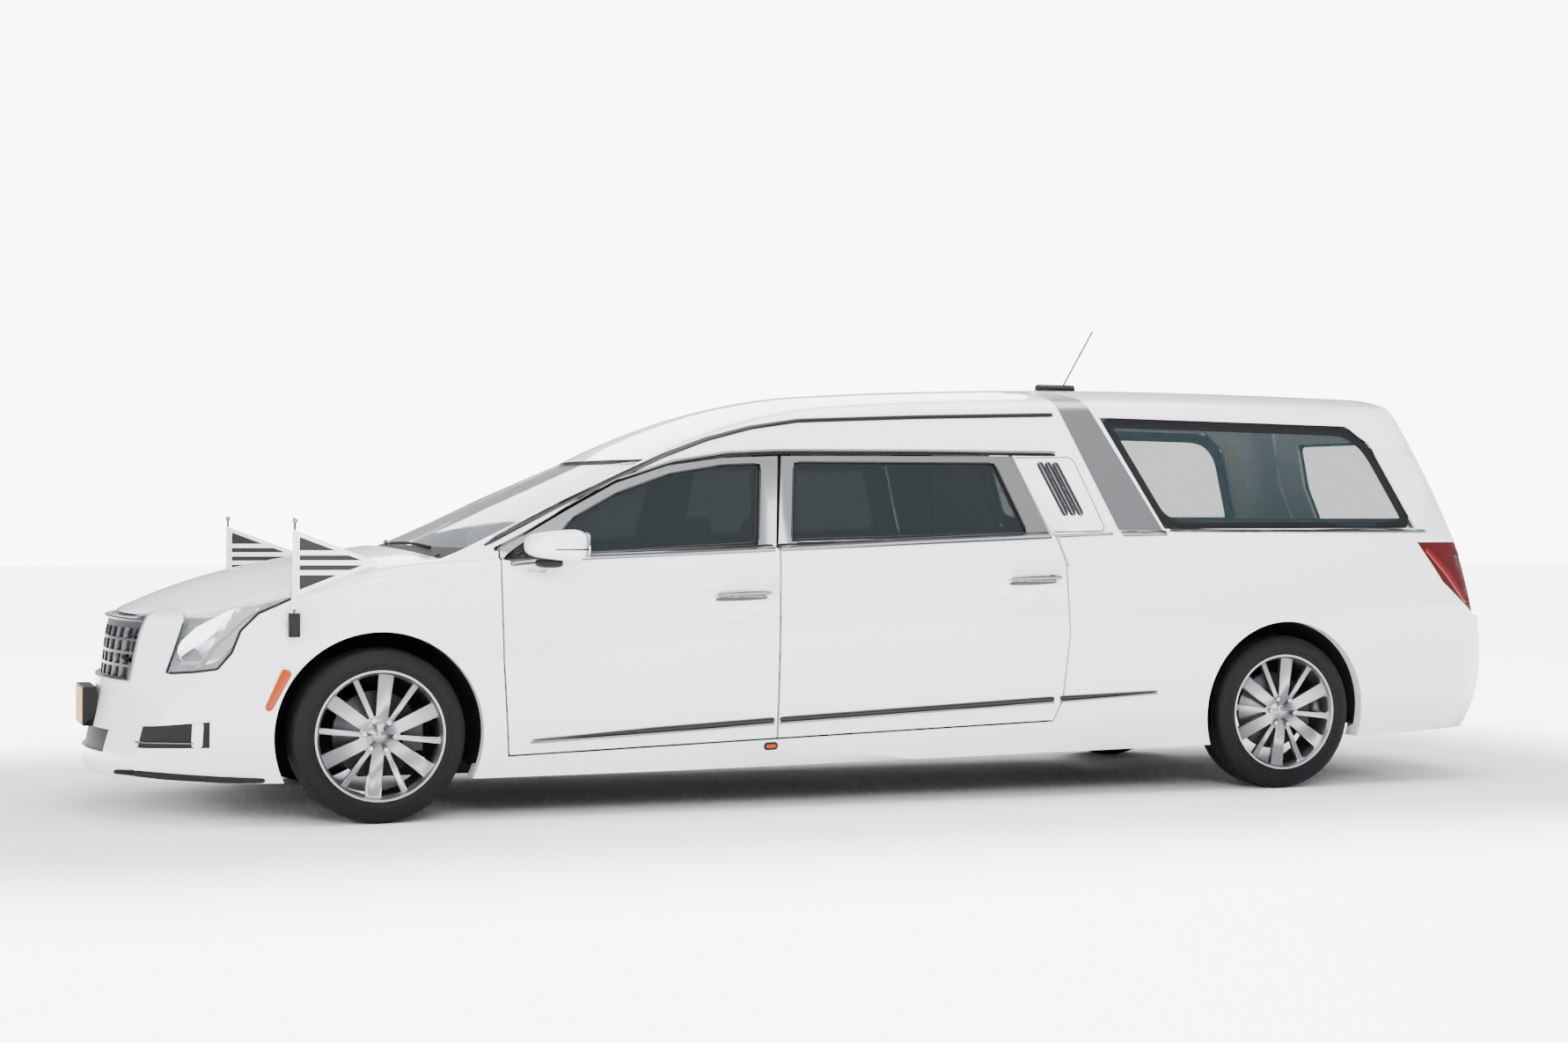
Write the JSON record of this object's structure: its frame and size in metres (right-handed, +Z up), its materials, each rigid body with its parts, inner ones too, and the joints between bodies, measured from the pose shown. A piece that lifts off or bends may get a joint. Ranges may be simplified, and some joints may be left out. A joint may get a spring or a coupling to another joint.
{
  "type": "white hearse",
  "caption": "White four-door hearse with raised roof, glazed casket bay, satin roof bands, pennants on the fenders, and wheels, steering, doors, hood and loading door that move.",
  "frame": {"origin": "on the ground, at the middle of the car's length and width", "axes": "+X to the rear of the car, which faces -X, +Y to its right side, +Z up"},
  "size_m": [6.5199, 2.3, 2.1139],
  "materials": {
    "white_paint": "gloss",
    "satin_trim": "satin",
    "tinted_glass": "gloss",
    "dark_grille": "gloss",
    "black_plastic": "matte",
    "clear_lens": "gloss",
    "red_lens": "gloss",
    "amber_lens": "gloss",
    "yellow_plate": "satin",
    "alloy": "satin",
    "tyre_rubber": "matte",
    "cast_parts": "matte",
    "underbody_black": "matte",
    "exhaust_steel": "satin",
    "seat_fabric": "matte",
    "trim_grey": "matte",
    "deck_wood": "satin",
    "lining_fabric": "matte",
    "pole_chrome": "polished",
    "flag_cloth": "matte"
  },
  "bodies": {
    "chassis": {"roof": "white_paint", "roof_band": "satin_trim", "body_sides": "white_paint", "fenders": "white_paint", "cabin_frame": "underbody_black", "windscreen": "tinted_glass", "quarter_glass": "tinted_glass", "cowl": "black_plastic", "front_bumper": "white_paint", "grille": "dark_grille", "lower_grille": "dark_grille", "headlamps": "clear_lens", "tail_lamps": "red_lens", "marker_lamps": "amber_lens", "front_plate": "yellow_plate", "rear_bumper": "white_paint", "tail_hinges": "cast_parts", "front_subframe": "underbody_black", "engine_block": "cast_parts", "rear_axle": "cast_parts", "wheel_liners": "black_plastic", "floor_pan": "underbody_black", "exhaust": "exhaust_steel", "dashboard": "trim_grey", "front_seats": "seat_fabric", "partition": "trim_grey", "casket_deck": "deck_wood", "bay_lining": "lining_fabric", "wipers": "black_plastic", "flag_poles": "pole_chrome", "flag_left": "flag_cloth", "flag_right": "flag_cloth", "antenna": "black_plastic"},
    "front_door_left": {"front_door_left": "white_paint", "front_door_glass_left": "tinted_glass", "mirror_left": "white_paint"},
    "front_door_right": {"front_door_right": "white_paint", "front_door_glass_right": "tinted_glass", "mirror_right": "white_paint"},
    "rear_door_left": {"rear_door_left": "white_paint", "rear_door_glass_left": "tinted_glass"},
    "rear_door_right": {"rear_door_right": "white_paint", "rear_door_glass_right": "tinted_glass"},
    "hood": {"hood": "white_paint"},
    "tail_door": {"tail_door": "white_paint", "tail_door_glass": "tinted_glass"},
    "knuckle_left": {"knuckle_left": "cast_parts"},
    "knuckle_right": {"knuckle_right": "cast_parts"},
    "wheel_front_left": {"wheel_front_left": "alloy", "tyre_front_left": "tyre_rubber"},
    "wheel_front_right": {"wheel_front_right": "alloy", "tyre_front_right": "tyre_rubber"},
    "wheel_rear_left": {"wheel_rear_left": "alloy", "tyre_rear_left": "tyre_rubber"},
    "wheel_rear_right": {"wheel_rear_right": "alloy", "tyre_rear_right": "tyre_rubber"}
  },
  "joints": [
    {"name": "front_door_left_hinge", "type": "hinge", "parent": "chassis", "child": "front_door_left", "pos_m": [-1.63384, -0.906, 0.6], "axis": [0, 0, -1], "range_deg": [0, 48]},
    {"name": "front_door_right_hinge", "type": "hinge", "parent": "chassis", "child": "front_door_right", "pos_m": [-1.63384, 0.906, 0.6], "axis": [0, 0, 1], "range_deg": [0, 48]},
    {"name": "rear_door_left_hinge", "type": "hinge", "parent": "chassis", "child": "rear_door_left", "pos_m": [-0.4547, -0.906, 0.6], "axis": [0, 0, -1], "range_deg": [0, 48]},
    {"name": "rear_door_right_hinge", "type": "hinge", "parent": "chassis", "child": "rear_door_right", "pos_m": [-0.4547, 0.906, 0.6], "axis": [0, 0, 1], "range_deg": [0, 48]},
    {"name": "hood_hinge", "type": "hinge", "parent": "chassis", "child": "hood", "pos_m": [-1.92786, 0, 1.02], "axis": [0, 1, 0], "range_deg": [0, 40]},
    {"name": "tail_door_hinge", "type": "hinge", "parent": "chassis", "child": "tail_door", "pos_m": [3.05955, -0.53495, 0.93], "axis": [0.3718, 0, -0.9283], "range_deg": [0, 75]},
    {"name": "steer_left", "type": "hinge", "parent": "chassis", "child": "knuckle_left", "pos_m": [-2.19, -0.72, 0.346], "axis": [0, 0, 1], "range_deg": [-30, 30]},
    {"name": "steer_right", "type": "hinge", "parent": "chassis", "child": "knuckle_right", "pos_m": [-2.19, 0.72, 0.346], "axis": [0, 0, 1], "range_deg": [-30, 30]},
    {"name": "wheel_front_left_spin", "type": "hinge", "parent": "knuckle_left", "child": "wheel_front_left", "pos_m": [-2.19, -0.795, 0.346], "axis": [0, 1, 0], "continuous": true},
    {"name": "wheel_front_right_spin", "type": "hinge", "parent": "knuckle_right", "child": "wheel_front_right", "pos_m": [-2.19, 0.795, 0.346], "axis": [0, 1, 0], "continuous": true},
    {"name": "wheel_rear_left_spin", "type": "hinge", "parent": "chassis", "child": "wheel_rear_left", "pos_m": [1.93, -0.795, 0.346], "axis": [0, 1, 0], "continuous": true},
    {"name": "wheel_rear_right_spin", "type": "hinge", "parent": "chassis", "child": "wheel_rear_right", "pos_m": [1.93, 0.795, 0.346], "axis": [0, 1, 0], "continuous": true}
  ],
  "couplings": [
    {"joint": "steer_right", "follows": "steer_left", "ratio": 1}
  ]
}
